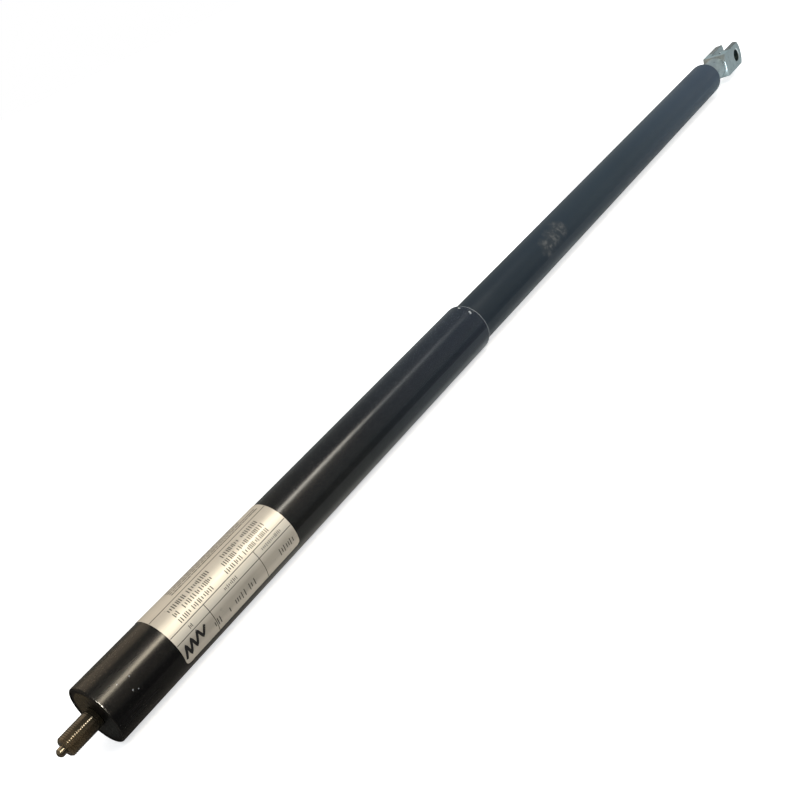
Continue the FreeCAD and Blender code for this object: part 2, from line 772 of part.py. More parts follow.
def make_all():
    section = "Sizes.seal_ring_section"
    return [
        make_clevis(),
        make_pressure_tube(),
        make_base_plug(),
        seal_ring("base_plug_oring", "Places.plug_start + Sizes.plug_ring_place",
                  "Places.fill", section),
        make_floating_piston(),
        seal_ring("floating_piston_oring", "Places.float_start + Sizes.float_ring_place",
                  "Places.fill", section),
        make_piston_body(),
        make_piston_seal(),
        make_guide_band(),
        make_valve_stem(),
        seal_ring("valve_stem_oring", "(Places.stem_groove + Places.stem_groove_end) / 2",
                  "Sizes.stem_radius", "Sizes.stem_ring_section"),
        make_valve_cap(),
        make_piston_rod(),
        make_release_pin(),
        make_stop_ring(),
        ring("seal_support_washer", "Places.bead_end", "Places.seal_ring_start",
             "Places.rod_hole", "Places.fill"),
        make_rod_seal(),
        make_rod_guide(),
        ring("end_washer", "Places.guide_end", "Places.lip_inside",
             "Places.rod_hole", "Places.flat_rim"),
        make_protective_tube(),
        make_guide_ring(),
        make_end_plate(),
        ring("clamp_washer", "Places.washer_start", "Places.plate_start",
             "Places.rod_hole", "Sizes.clamp_washer_radius"),
        make_circlip(),
        make_label(),
    ]


def check_and_write(bodies):
    """Stops on a failed object or a bad solid, then writes one file for each piece."""
    document.recompute()
    for item in document.Objects:
        if "Invalid" in item.State or "Error" in item.State:
            raise RuntimeError(f"{item.Label} failed: {item.State}")
    for body in bodies:
        if body.Shape.isNull() or not body.Shape.isValid() or len(body.Shape.Solids) != 1:
            raise RuntimeError(f"{body.Label} isn't one valid solid")
    os.makedirs("parts", exist_ok=True)
    for body in bodies:
        body.Shape.exportStep(f"parts/{body.Label}.step")
        print(body.Label, round(body.Shape.Volume, 1), "cubic mm")


check_and_write(make_all())
print("pin hole to rod end", round(amount("Places.rod_end"), 2), "mm")
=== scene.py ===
import json
import math
import random

import bmesh
import bpy
from mathutils import Matrix, Vector


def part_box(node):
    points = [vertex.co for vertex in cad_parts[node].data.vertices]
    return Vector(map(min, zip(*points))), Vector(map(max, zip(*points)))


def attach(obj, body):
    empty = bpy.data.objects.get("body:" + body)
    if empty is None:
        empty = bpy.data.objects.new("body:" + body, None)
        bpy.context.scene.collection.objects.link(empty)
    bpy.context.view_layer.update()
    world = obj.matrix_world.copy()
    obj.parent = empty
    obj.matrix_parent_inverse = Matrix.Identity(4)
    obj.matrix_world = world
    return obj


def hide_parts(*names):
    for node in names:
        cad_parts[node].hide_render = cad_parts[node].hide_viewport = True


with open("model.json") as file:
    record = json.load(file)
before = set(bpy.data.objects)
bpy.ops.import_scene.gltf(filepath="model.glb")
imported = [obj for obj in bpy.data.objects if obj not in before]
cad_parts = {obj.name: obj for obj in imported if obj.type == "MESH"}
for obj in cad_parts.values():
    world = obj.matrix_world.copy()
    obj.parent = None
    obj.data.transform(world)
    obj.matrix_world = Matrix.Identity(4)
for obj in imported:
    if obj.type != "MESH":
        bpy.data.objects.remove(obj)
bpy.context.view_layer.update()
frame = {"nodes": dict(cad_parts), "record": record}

MM = 0.001
random.seed(7)

# Places along the spring, read from the frame.
COVER_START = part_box("protective_tube")[0][0]
COVER_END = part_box("protective_tube")[1][0]
COVER_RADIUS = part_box("protective_tube")[1][1]
TUBE_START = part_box("pressure_tube")[0][0]
TUBE_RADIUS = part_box("pressure_tube")[1][1]
ROD_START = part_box("piston_rod")[0][0]
ROD_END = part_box("piston_rod")[1][0]
ROD_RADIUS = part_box("piston_rod")[1][1]
LABEL_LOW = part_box("foil_label")[0][0]
LABEL_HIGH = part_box("foil_label")[1][0]

# Hollow rod, with a relief groove and then an M10 thread of fine pitch at its end. The valley and
# its two flanks are shares of the pitch. The thread starts with a share of its depth and deepens
# from a share of its length on.
THREAD_PITCH = 1.0 * MM
THREAD_DEPTH = 0.30 * MM
THREAD_BEVEL = 0.9 * MM
VALLEY_WIDTH = 0.55
FLANK_WIDTH = 0.40
FIRST_DEPTH = 0.05
DEEPENS_FROM = 0.25
DEEPENING = 1.2
ROD_BORE = 2.15 * MM
ROD_MOUTH = 0.35 * MM
SPIGOT_RADIUS = 4.0 * MM
CIRCLIP_GAP = 0.1 * MM
CIRCLIP_GROOVE = 0.4 * MM
RELIEF_LENGTH = 1.5 * MM
RELIEF_DEPTH = 0.5 * MM
ROD_SIDES = 72
STEPS_PER_PITCH = 12
ROD_SHARP_ANGLE = 38

# Label on the protective tube. Angles turn about X from +Y towards +Z.
LABEL_GAP = 0.05 * MM
LABEL_THICKNESS = 0.078 * MM
LABEL_ANGLES = (-28.5, 129.5)
LABEL_CORNER = 2.5 * MM
LABEL_SKEW = 3.0
LABEL_SIDES = 64
LABEL_SHARP_ANGLE = 40
CORNER_STEPS = 7
MIDDLE_STEPS = 6

# Plain marks where the label's print stands, with starts and ends in mm from the label's edge at
# the rod end, and angles in degrees. No group spells anything.
RULED_ANGLES = (75.1, 30.0, 14.0)
CROSS_PLACES = (22.0, 57.6)
FINE_ROWS = ((85.3, 17.5, 79.5), (91.0, 17.5, 79.0), (97.0, 17.5, 68.5), (103.0, 17.5, 68.5),
             (109.0, 17.5, 66.0))
MAIN_ROWS = ((64.2, ((9.5, 20.0), (22.3, 36.3), (46.0, 58.0), (60.5, 72.0))),
             (51.6, ((9.5, 13.0), (15.7, 23.0), (24.5, 34.8), (43.0, 52.0), (53.7, 72.0))),
             (38.9, ((9.3, 15.8), (18.0, 31.0), (41.0, 52.0), (54.2, 72.0))))
SMALL_ANGLE = 21.3
SMALL_GROUPS = ((10.3, 12.5), (34.5, 43.0), (62.0, 76.0))
STAMPED_GROUPS = ((21.0, 26.0, -10.3), (31.0, 33.0, -12.0), (35.5, 43.5, -10.0),
                  (45.5, 50.5, -9.5), (69.0, 79.0, -8.0))
PEN_POINTS = ((1.2, -17.0), (3.4, 5.0), (4.6, -15.0), (7.2, 7.0), (8.6, -12.0), (11.6, 9.0),
              (13.2, -8.0), (16.2, 7.0))

# Styles of the ticks: height in degrees, then pitch and width in mm. Each tick's height and step
# to the next are varied by a factor. The dashes, widths, insets and steps are in mm too. The ink's
# root is a share of the label's thickness, and the cross lines' margin is in degrees.
MAIN_TICKS = (8.6, 1.25, 0.48)
SMALL_TICKS = (6.6, 0.95, 0.34)
STAMPED_TICKS = (13.5, 1.7, 0.55)
TICK_HEIGHTS = (1.0, 1.0, 0.65)
TICK_SPREAD = (0.75, 1.3)
DASH_LENGTHS = (0.7, 3.4)
DASH_GAPS = (0.3, 0.7)
RULED_INSET = 0.3
RULED_WIDTH = 0.34
CROSS_MARGIN = 1.0
DASH_WIDTH = 0.62
PEN_WIDTH = 1.35
PRINT_STEP = 0.8
PRINT_HEIGHT = 0.012 * MM
PRINT_ROOT = 0.8

# Paint of the protective tube, and the places where it is chipped: a place along X, an angle, a
# size, and how ragged the edge is. The last four, by the lip, also serve as painted glints.
WARM_BLACK = (0.0030, 0.0030, 0.0027)
COOL_BLACK = (0.0042, 0.0065, 0.0090)
BLUE_BLACK = (0.010, 0.014, 0.022)
# Painted shade: the colour of a darker reflection by the rod end.
SHADED_REFLECTION_BLACK = (0.0011, 0.0013, 0.0018)
CLOUD_BLACK = (0.012, 0.012, 0.012)
HAZE_GREY = (0.10, 0.09, 0.075)
GRIME_BROWN = (0.060, 0.038, 0.018)
# Grey of the chipped paint, and of the painted glints on the lip.
CHIP_AND_GLINT_GREY = (0.31, 0.335, 0.35)
CHIPS_AND_GLINTS = ((COVER_END - 16.8 * MM, 37.0, 0.35 * MM, 1.3),
         (COVER_END - 10.9 * MM, 41.5, 0.30 * MM, 1.3),
         (COVER_END - 13.9 * MM, 18.0, 0.38 * MM, 1.3),
         (COVER_END - 16.0 * MM, 13.0, 0.27 * MM, 1.3),
         (COVER_START + 3.3 * MM, 82.5, 0.7 * MM, 0.6),
         (COVER_START + 3.6 * MM, 79.0, 0.7 * MM, 0.6),
         (COVER_START + 4.0 * MM, 53.0, 0.9 * MM, 0.6),
         (COVER_START + 4.5 * MM, 49.5, 0.9 * MM, 0.6))

# Paint of the end plate, with a painted reflection in brown and painted shade in black.
PLATE_BLACK = (0.008, 0.010, 0.009)
PLATE_REFLECTION_BROWN = (0.050, 0.036, 0.018)
PLATE_SHADE_BLACK = (0.0020, 0.0020, 0.0018)

# Paint of the pressure tube. Its scuffed patch is made of spots that overlap.
SLATE_BLACK = (0.009, 0.020, 0.034)
SLATE_CLOUD = (0.013, 0.027, 0.040)
SLATE_BLUE = (0.025, 0.045, 0.076)
SLATE_SHADE = (0.004, 0.010, 0.018)
SCUFF_GREY = (0.15, 0.152, 0.150)
SCUFF_RADIUS = 8.5 * MM
SCUFF_SPOTS = ((COVER_START - 114 * MM, 40.0), (COVER_START - 92 * MM, 28.0),
               (COVER_START - 103 * MM, 36.0))

# Zinc plating of the fork head, with painted light on the far lug, a painted glint at the mouth
# of the bore and painted shade inside it.
ZINC_DARK = (0.31, 0.37, 0.385)
ZINC_LIGHT = (0.44, 0.51, 0.525)
ZINC_STAIN = (0.26, 0.27, 0.25)
FAR_LUG_PAINTED_LIGHT = (0.75, 0.76, 0.72)
SAWN_LIGHT = (0.34, 0.46, 0.49)
SAWN_DARK = (0.13, 0.148, 0.148)
CRESCENT_GLINT = (0.95, 1.0, 1.0)
BORE_SHADE = (0.030, 0.052, 0.054)

# Oiled rod, label foil and its inks.
# The rod's dark tone is painted shade by the end plate.
ROD_SHADE = (0.034, 0.028, 0.017)
ROD_LIGHT = (0.150, 0.108, 0.056)
ROD_MOTTLE = (0.018, 0.014, 0.009)
FOIL_DARK = (0.565, 0.515, 0.440)
FOIL_LIGHT = (0.670, 0.618, 0.532)
# Tone of the painted shade behind the tube.
FOIL_BACK_SHADE = (0.36, 0.33, 0.285)
FOIL_MARK = (0.30, 0.28, 0.25)
FOIL_LIT = (0.79, 0.745, 0.66)
FOIL_GRIME = (0.235, 0.215, 0.185)
LINE_INK = (0.03, 0.027, 0.022)
FINE_INK = (0.035, 0.032, 0.028)
MAIN_INK = (0.018, 0.016, 0.013)
STAMP_INK = (0.055, 0.050, 0.046)
PEN_INK = (0.008, 0.008, 0.008)

# Metals: colour, roughness, and how much darker their mottling is. Soft materials: colour and
# roughness.
METALS = {"bright_steel": ((0.50, 0.45, 0.36), 0.22, 0.25),
          "spring_steel": ((0.14, 0.13, 0.12), 0.35, 0.3),
          "aluminium": ((0.62, 0.62, 0.62), 0.30, 0.15),
          "brass": ((0.62, 0.46, 0.20), 0.28, 0.2)}
SOFT = {"rubber": ((0.014, 0.014, 0.014), 0.62), "bearing_plastic": ((0.05, 0.05, 0.052), 0.45)}

# Floor. The glow is light that it adds for the camera, growing with the distance from its middle
# so that it meets the backdrop without an edge. The mirrored colours run from the rod end to the
# fork end.
WHITE = (1.0, 1.0, 1.0)
BLACK = (0.0, 0.0, 0.0)
FLOOR_WHITE = (0.80, 0.80, 0.80)
FLOOR_HALF_SIZE = 12.0
FLOOR_GAP = 0.3 * MM
FLOOR_GLOW = (0.62, 1.1)
GLOW_REACH = (0.15, 0.55)
GLOW_SHAPE = (0.35, 1.0, 1.0)
FLOOR_MIDDLE = (0.42, 0.0, 0.0)
FLOOR_MIRRORED = ((0.0, (0.05, 0.045, 0.04)), (0.05, (0.15, 0.14, 0.13)),
                  (0.16, (0.36, 0.36, 0.35)), (0.36, (0.36, 0.40, 0.43)),
                  (0.85, (0.38, 0.41, 0.43)), (1.0, (0.46, 0.52, 0.53)))

# Room. It lights the part evenly and is mirrored dimmer, with a band low down that is added. The
# mirrored colours run from the rod end to past the fork end, by the X of a direction, and the band
# grows downwards by its Z.
ROOM_COLOUR = (0.80, 0.84, 0.88)
ROOM_MIRRORED = ((0.0, (0.175, 0.155, 0.125)), (1.0, (0.26, 0.32, 0.37)))
ROOM_BAND = ((0.0, (0.08, 0.06, 0.03)), (0.4, (0.11, 0.11, 0.10)), (0.75, (0.07, 0.065, 0.035)),
             (1.0, (0.30, 0.27, 0.19)))
PAST_FORK = (-0.25, -0.90)
BAND_FADES = (0.55, 0.20)

# Camera, fitted to the photograph.
CAMERA_PLACE = (0.9005, 0.3784, 0.2321)
CAMERA_FORWARD = (-0.6143, -0.6690, -0.4118)
CAMERA_UP = (-0.5699, 0.0150, 0.8178)
CAMERA_LENS = 44.1
CAMERA_SENSOR = 36.0
CAMERA_CLIP = (0.01, 50.0)


class Graph:
    """A node tree, and short calls that add nodes to it."""

    def __init__(self, tree, coordinates):
        self.tree = tree
        self.place = self.add("ShaderNodeTexCoord").outputs[coordinates]

    def add(self, kind, inputs=(), **settings):
        """A new node with its settings, and its inputs set to values or linked to sockets."""
        node = self.tree.nodes.new(kind)
        for key, value in settings.items():
            setattr(node, key, value)
        for key, value in dict(inputs).items():
            self.put(node.inputs[key], value)
        return node

    def put(self, socket, value):
        if isinstance(value, bpy.types.NodeSocket):
            self.tree.links.new(value, socket)
        elif socket.type == "RGBA":
            socket.default_value = (*value, 1)
        else:
            socket.default_value = value

    def math(self, operation, first, *others):
        """A value from one or more values, joined two by two."""
        if not others:
            return self.add("ShaderNodeMath", {0: first}, operation=operation).outputs[0]
        for other in others:
            node = self.add("ShaderNodeMath", {0: first, 1: other}, operation=operation)
            first = node.outputs[0]
        return first

    def times(self, *values):
        return self.math("MULTIPLY", *values)

    def plus(self, *values):
        return self.math("ADD", *values)

    def highest(self, *values):
        return self.math("MAXIMUM", *values)

    def vector(self, operation, inputs, output="Vector"):
        return self.add("ShaderNodeVectorMath", inputs, operation=operation).outputs[output]

    def off_axis(self, **parts):
        """The length of a vector that has only the named parts."""
        flat = self.add("ShaderNodeCombineXYZ", parts).outputs[0]
        return self.vector("LENGTH", {0: flat}, "Value")

    def axes(self):
        """The sockets for X, Y and Z of the place."""
        return tuple(self.add("ShaderNodeSeparateXYZ", {"Vector": self.place}).outputs)

    def scaled(self, scale, place=None):
        """The place with each axis stretched. A small factor draws a noise out along its axis."""
        inputs = {"Vector": place or self.place, "Scale": scale}
        return self.add("ShaderNodeMapping", inputs).outputs[0]

    def noise(self, scale, detail=3.0, rough=0.55, place=None):
        """Soft noise: its waves per metre, how many finer layers it has, and their strength."""
        inputs = {"Vector": place or self.place, "Scale": scale, "Detail": detail,
                  "Roughness": rough}
        return self.add("ShaderNodeTexNoise", inputs).outputs["Fac"]

    def ramp(self, value, stops):
        """A colour that runs through stops, each a place from 0 to 1 and a colour."""
        node = self.add("ShaderNodeValToRGB", {"Fac": value})
        elements = node.color_ramp.elements
        for index, (spot, colour) in enumerate(stops):
            element = elements[index] if index < 2 else elements.new(spot)
            element.position = spot
            element.color = (*colour, 1)
        return node.outputs["Color"]

    def range(self, value, low, high, to_low=0.0, to_high=1.0):
        """A value brought from one span to another and held at its ends."""
        inputs = {"Value": value, "From Min": low, "From Max": high, "To Min": to_low,
                  "To Max": to_high}
        return self.add("ShaderNodeMapRange", inputs).outputs["Result"]

    def spread(self, noise, to_low=0.0, to_high=1.0):
        """The part of a noise's span that most of it lies in, brought to another span."""
        return self.range(noise, 0.3, 0.7, to_low, to_high)

    def mix(self, amount, first, second):
        """The first colour, turning into the second one as an amount goes from 0 to 1."""
        node = self.add("ShaderNodeMix", data_type="RGBA")
        colours = [socket for socket in node.inputs if socket.type == "RGBA"]
        self.put(node.inputs["Factor"], amount)
        self.put(colours[0], first)
        self.put(colours[1], second)
        return [socket for socket in node.outputs if socket.type == "RGBA"][0]

    def bump(self, height, strength, distance, normal=None):
        """A normal that follows a height, which counts as a distance in metres."""
        inputs = {"Height": height, "Strength": strength, "Distance": distance}
        if normal is not None:
            inputs["Normal"] = normal
        return self.add("ShaderNodeBump", inputs).outputs["Normal"]

    def near(self, spot, radius, ragged):
        """1 at a spot and up to 0.4 of a radius, fading to 0 at the radius, with a ragged edge."""
        distance = self.vector("DISTANCE", {0: self.place, 1: spot}, "Value")
        wobble = self.math("SUBTRACT", self.noise(1.6 / radius, 4.0), 0.5)
        distance = self.plus(distance, self.times(wobble, ragged * radius))
        return self.range(distance, radius, radius * 0.4)


class Look(Graph):
    """A material with a Principled shader, placed by the part's own coordinates."""

    def __init__(self, name):
        self.material = bpy.data.materials.new(name)
        self.material.use_nodes = True
        super().__init__(self.material.node_tree, "Object")

    def finish(self, **sockets):
        shader = self.tree.nodes["Principled BSDF"]
        for name, value in sockets.items():
            self.put(shader.inputs[name.replace("_", " ")], value)
        return self.material


def spot_on(radius, along, angle):
    """The point at a radius, a place along X and an angle about it."""
    turn = math.radians(angle)
    return (along, radius * math.cos(turn), radius * math.sin(turn))


def toned(colour, factor, lift=0.0):
    """A colour made lighter or darker by a factor, and by light that is added."""
    return tuple(channel * factor + lift for channel in colour)


def cover_paint():
    """Black paint with fine orange peel, rubbed streaks, chipped spots and a worn lip; the lip and
    the spots by it are also painted lighter as glints. By the rod end the side facing +Y is
    painted darker as a shaded reflection, and the rest is grimy. It turns bluer towards the lip."""
    n = Look("black_paint")
    x, y, z = n.axes()
    orange_peel = n.noise(1400.0, 2.0)
    cloudy = n.noise(22.0, 4.0, 0.6)
    streaks = n.noise(60.0, 5.0, 0.7, n.scaled((0.08, 1.0, 1.0)))
    haze = n.range(n.noise(9.0, 6.0, 0.7), 0.52, 0.75, 0.0, 0.04)
    # Painted shade: by the rod end the side facing +Y is darker, as a shaded reflection.
    shaded_reflection = n.times(n.range(x, COVER_END - 90 * MM, COVER_END - 30 * MM),
                    n.range(y, 5.0 * MM, 8.5 * MM, 0.0, 0.85),
                    n.range(z, -6.0 * MM, -2.5 * MM))
    grime = n.times(n.range(n.noise(650.0, 5.0, 0.75), 0.50, 0.66),
                    n.range(x, COVER_END - 40 * MM, COVER_END - 8 * MM),
                    n.range(y, 6.8 * MM, 3.5 * MM, 0.08, 1.0))
    # The worn lip is also painted lighter, as the highlight along its rolled edge.
    lip = n.times(n.range(x, COVER_START + 1.5 * MM, COVER_START + 0.9 * MM),
                  n.range(x, COVER_START + 0.2 * MM, COVER_START + 0.7 * MM),
                  n.range(n.noise(300.0, 3.0), 0.25, 0.50, 0.45, 1.0))
    # The spots by the lip are painted glints as well as chipped paint.
    chips_and_glints = [n.near(spot_on(COVER_RADIUS, along, angle), size, ragged)
             for along, angle, size, ragged in CHIPS_AND_GLINTS]
    worn = n.highest(lip, *chips_and_glints)

    base = n.mix(n.range(x, COVER_END - 100 * MM, COVER_END - 260 * MM), WARM_BLACK, COOL_BLACK)
    base = n.mix(n.range(cloudy, 0.35, 0.75, 0.0, 0.35), base, CLOUD_BLACK)
    base = n.mix(haze, base, HAZE_GREY)
    base = n.mix(n.range(x, COVER_START + 130 * MM, COVER_START), base, BLUE_BLACK)
    base = n.mix(shaded_reflection, base, SHADED_REFLECTION_BLACK)
    base = n.mix(n.times(grime, 0.24), base, GRIME_BROWN)
    base = n.mix(worn, base, CHIP_AND_GLINT_GREY)

    dulled = n.range(x, COVER_END - 50 * MM, COVER_END - 10 * MM, 0.0, 0.04)
    end_face = n.range(x, COVER_END - 0.05 * MM, COVER_END - 0.01 * MM)
    roughness = n.plus(n.range(streaks, 0.3, 0.75, 0.15, 0.29), dulled, n.times(grime, 0.10),
                       n.times(worn, 0.12), n.times(end_face, 0.25))
    normal = n.bump(orange_peel, 0.10, 0.02 * MM)
    normal = n.bump(cloudy, 0.05, 0.1 * MM, normal)
    return n.finish(Base_Color=base, Roughness=roughness, Normal=normal, Metallic=0.0,
                    Specular_IOR_Level=0.5)


def end_plate_paint():
    """Dull paint with a painted reflection, lighter brown on one side, and painted shade, black,
    beside the stud and at the rim.
    """
    n = Look("end_plate_paint")
    _, y, z = n.axes()
    side = n.math("SUBTRACT", z, y)
    # Painted shade: black beside the stud and in a ring at the rim.
    stud_shadow = n.near(spot_on(8.0 * MM, COVER_END, 35.0), 8.5 * MM, 0.3)
    rim = n.range(n.off_axis(Y=y, Z=z), 12.8 * MM, 13.4 * MM)
    mottle = n.noise(420.0, 4.0, 0.65)
    # Painted reflection: lighter brown towards one side of the plate.
    base = n.mix(n.range(side, -8 * MM, 9 * MM), PLATE_BLACK, PLATE_REFLECTION_BROWN)
    base = n.mix(n.times(n.highest(stud_shadow, rim), 0.95), base, PLATE_SHADE_BLACK)
    return n.finish(Base_Color=base, Roughness=n.spread(mottle, 0.24, 0.36),
                    Normal=n.bump(mottle, 0.12, 0.03 * MM), Metallic=0.0,
                    Specular_IOR_Level=0.25)


def slate_paint():
    """Satin paint with fine scratches and a scuffed patch, bluer by the fork, darker by the lip of
    the protective tube."""
    n = Look("slate_black_paint")
    x = n.axes()[0]
    cloudy = n.noise(18.0, 5.0, 0.62)
    streaks = n.noise(90.0, 4.0, 0.7, n.scaled((0.05, 1.0, 1.0)))
    patch = n.highest(*[n.near(spot_on(TUBE_RADIUS, along, angle), SCUFF_RADIUS, 1.0)
                        for along, angle in SCUFF_SPOTS])
    scuff = n.times(patch, n.range(n.noise(300.0, 6.0, 0.72), 0.47, 0.62, 0.14, 1.0))
    scratch = n.range(streaks, 0.68, 0.74, 0.0, 0.22)
    shaded = n.range(x, COVER_START - 190 * MM, COVER_START - 30 * MM, 0.0, 0.8)

    base = n.mix(n.range(cloudy, 0.3, 0.75, 0.0, 0.6), SLATE_BLACK, SLATE_CLOUD)
    base = n.mix(n.range(x, TUBE_START + 200 * MM, TUBE_START), base, SLATE_BLUE)
    base = n.mix(shaded, base, SLATE_SHADE)
    base = n.mix(n.highest(n.times(scuff, 0.45), scratch), base, SCUFF_GREY)
    roughness = n.plus(n.range(cloudy, 0.3, 0.8, 0.34, 0.46), n.times(patch, 0.18))
    normal = n.bump(n.noise(1500.0, 2.0), 0.08, 0.02 * MM)
    normal = n.bump(scuff, 0.25, 0.04 * MM, normal)
    return n.finish(Base_Color=base, Roughness=roughness, Normal=normal, Metallic=0.0)


def zinc():
    """Cloudy zinc plating. The sawn edges are dull. The bore is painted dark as shade, with a
    bright crescent at its mouth as a painted highlight, and the lug on the far side is painted a
    little lighter as painted light."""
    n = Look("zinc_steel")
    x, y, z = n.axes()
    cloudy = n.noise(160.0, 5.0, 0.65)
    stain = n.range(n.noise(70.0, 4.0), 0.56, 0.70, 0.0, 0.25)
    turning = n.noise(900.0, 3.0, 0.6, n.scaled((1.0, 0.25, 0.25)))
    edge = n.times(n.range(n.math("ABSOLUTE", z), 9.5 * MM, 9.9 * MM),
                   n.range(x, 26 * MM, 22 * MM))
    sawn = n.mix(n.range(x, 15 * MM, 12 * MM), SAWN_LIGHT, SAWN_DARK)
    from_pin = n.off_axis(X=x, Z=z)
    # Painted highlight: a bright crescent at the mouth of the bore.
    crescent = n.times(n.range(from_pin, 6.8 * MM, 6.2 * MM), n.range(x, -1.0 * MM, -3.5 * MM),
                       n.range(z, -4.0 * MM, 1.0 * MM))
    # Painted shade: dark inside the bore.
    bore = n.times(n.range(from_pin, 5.7 * MM, 5.5 * MM),
                   n.range(n.math("ABSOLUTE", y), 9.9 * MM, 9.6 * MM))

    base = n.mix(n.spread(cloudy), ZINC_DARK, ZINC_LIGHT)
    base = n.mix(stain, base, ZINC_STAIN)
    base = n.mix(edge, base, sawn)
    # Painted light: the far lug a little lighter.
    base = n.mix(n.range(y, -4.0 * MM, -4.8 * MM, 0.0, 0.12), base, FAR_LUG_PAINTED_LIGHT)
    base = n.mix(crescent, base, CRESCENT_GLINT)
    base = n.mix(bore, base, BORE_SHADE)
    normal = n.bump(turning, 0.14, 0.03 * MM)
    normal = n.bump(cloudy, 0.10, 0.08 * MM, normal)
    return n.finish(Base_Color=base, Roughness=n.range(cloudy, 0.3, 0.75, 0.26, 0.40),
                    Normal=normal, Metallic=0.7)


def turning_marks(n, strength):
    """Fine marks that run round X."""
    return n.bump(n.noise(1400.0, 2.0, 0.5, n.scaled((1.0, 0.05, 0.05))), strength, 0.02 * MM)


def phosphate():
    """Brown oiled phosphate, painted darker by the end plate as shade."""
    n = Look("phosphated_rod")
    mottle = n.noise(260.0, 4.0, 0.6)
    # Painted shade: darker by the end plate.
    base = n.mix(n.range(n.axes()[0], COVER_END + 2 * MM, ROD_END), ROD_SHADE, ROD_LIGHT)
    base = n.mix(n.spread(mottle, 0.45, 0.0), base, ROD_MOTTLE)
    return n.finish(Base_Color=base, Roughness=n.spread(mottle, 0.06, 0.18),
                    Normal=turning_marks(n, 0.02), Metallic=0.6, Coat_Weight=1.0,
                    Coat_Roughness=0.05)


def metal(name, colour, rough, speck):
    """Machined metal with a mottled tone."""
    n = Look(name)
    mottle = n.noise(260.0, 4.0, 0.6)
    base = n.mix(n.spread(mottle), toned(colour, 1 - speck), colour)
    return n.finish(Base_Color=base, Roughness=n.spread(mottle, rough - 0.04, rough + 0.08),
                    Normal=turning_marks(n, 0.12), Metallic=1.0)


def moulded(name, colour, rough):
    """Rubber or moulded plastic with a fine dull grain."""
    n = Look(name)
    grain = n.noise(700.0, 3.0)
    base = n.mix(n.spread(grain), colour, toned(colour, 1.6))
    return n.finish(Base_Color=base, Roughness=n.spread(grain, rough, rough + 0.12),
                    Normal=n.bump(grain, 0.15, 0.03 * MM), Metallic=0.0)


def foil():
    """Matt silver foil with a faint lengthwise brushing and handling marks. It is painted darker
    behind the tube as shade, and duller along the grimy band below its lit side."""
    n = Look("label_foil")
    _, y, z = n.axes()
    brushed = n.noise(700.0, 3.0, 0.6, n.scaled((0.06, 1.0, 1.0)))
    cloudy = n.noise(45.0, 5.0, 0.6)
    handled = n.range(n.noise(320.0, 4.0, 0.7), 0.64, 0.72, 0.0, 0.5)
    lit = n.times(n.range(y, 8.0 * MM, 11.5 * MM, 0.0, 0.8), n.range(z, 1.0 * MM, 4.5 * MM))
    grimy = n.times(n.range(z, 6.5 * MM, 1.0 * MM), n.range(cloudy, 0.25, 0.7, 0.15, 0.60),
                    n.range(z, -4.5 * MM, -2.2 * MM))

    base = n.mix(n.range(cloudy, 0.3, 0.72), FOIL_DARK, FOIL_LIGHT)
    # Painted shade behind the tube.
    base = n.mix(n.range(y, -4.5 * MM, -8.5 * MM, 0.0, 0.6), base, FOIL_BACK_SHADE)
    base = n.mix(handled, base, FOIL_MARK)
    base = n.mix(lit, base, FOIL_LIT)
    base = n.mix(grimy, base, FOIL_GRIME)
    return n.finish(Base_Color=base, Roughness=n.spread(brushed, 0.45, 0.58),
                    Normal=n.bump(brushed, 0.10, 0.02 * MM), Metallic=0.55)


def ink(name, colour):
    """Matt ink that is worn a little paler in places."""
    n = Look(name)
    worn = n.range(n.noise(600.0, 3.0), 0.35, 0.75)
    return n.finish(Base_Color=n.mix(worn, colour, toned(colour, 1.5, 0.004)), Roughness=0.6,
                    Metallic=0.0, Specular_IOR_Level=0.15)


def mesh_object(name, vertices, faces, material, sharp_angle=None):
    """A closed mesh with its normals outwards: flat, or smooth with edges sharp from an angle."""
    mesh = bpy.data.meshes.new(name)
    mesh.from_pydata(vertices, [], faces)
    mesh.materials.append(material)
    for polygon in mesh.polygons:
        polygon.use_smooth = sharp_angle is not None
    mesh.validate()
    piece = bpy.data.objects.new(name, mesh)
    bpy.context.scene.collection.objects.link(piece)
    edited = bmesh.new()
    edited.from_mesh(mesh)
    bmesh.ops.recalc_face_normals(edited, faces=edited.faces)
    edited.to_mesh(mesh)
    edited.free()
    if sharp_angle is not None:
        mesh.set_sharp_from_angle(angle=math.radians(sharp_angle))
    return piece


def quad(first, step, other):
    """The four corners of a face, from one corner and the steps to its two neighbours."""
    return (first, first + step, first + step + other, first + other)


def thread_radius(along, turn):
    """Radius of the thread at a place and an angle in radians, shallow by the end plate."""
    phase = ((along - COVER_END) / THREAD_PITCH - turn / (2 * math.pi)) % 1.0
    ridge = abs(phase - 0.5) * 2
    cut = THREAD_DEPTH * min(max((VALLEY_WIDTH - ridge) / FLANK_WIDTH, 0.0), 1.0)
    reach = (along - COVER_END) / (ROD_END - COVER_END)
    depth = min(FIRST_DEPTH + DEEPENING * max(reach - DEEPENS_FROM, 0.0), 1.0)
    return min(ROD_RADIUS - cut * depth, ROD_RADIUS - THREAD_BEVEL + (ROD_END - along))


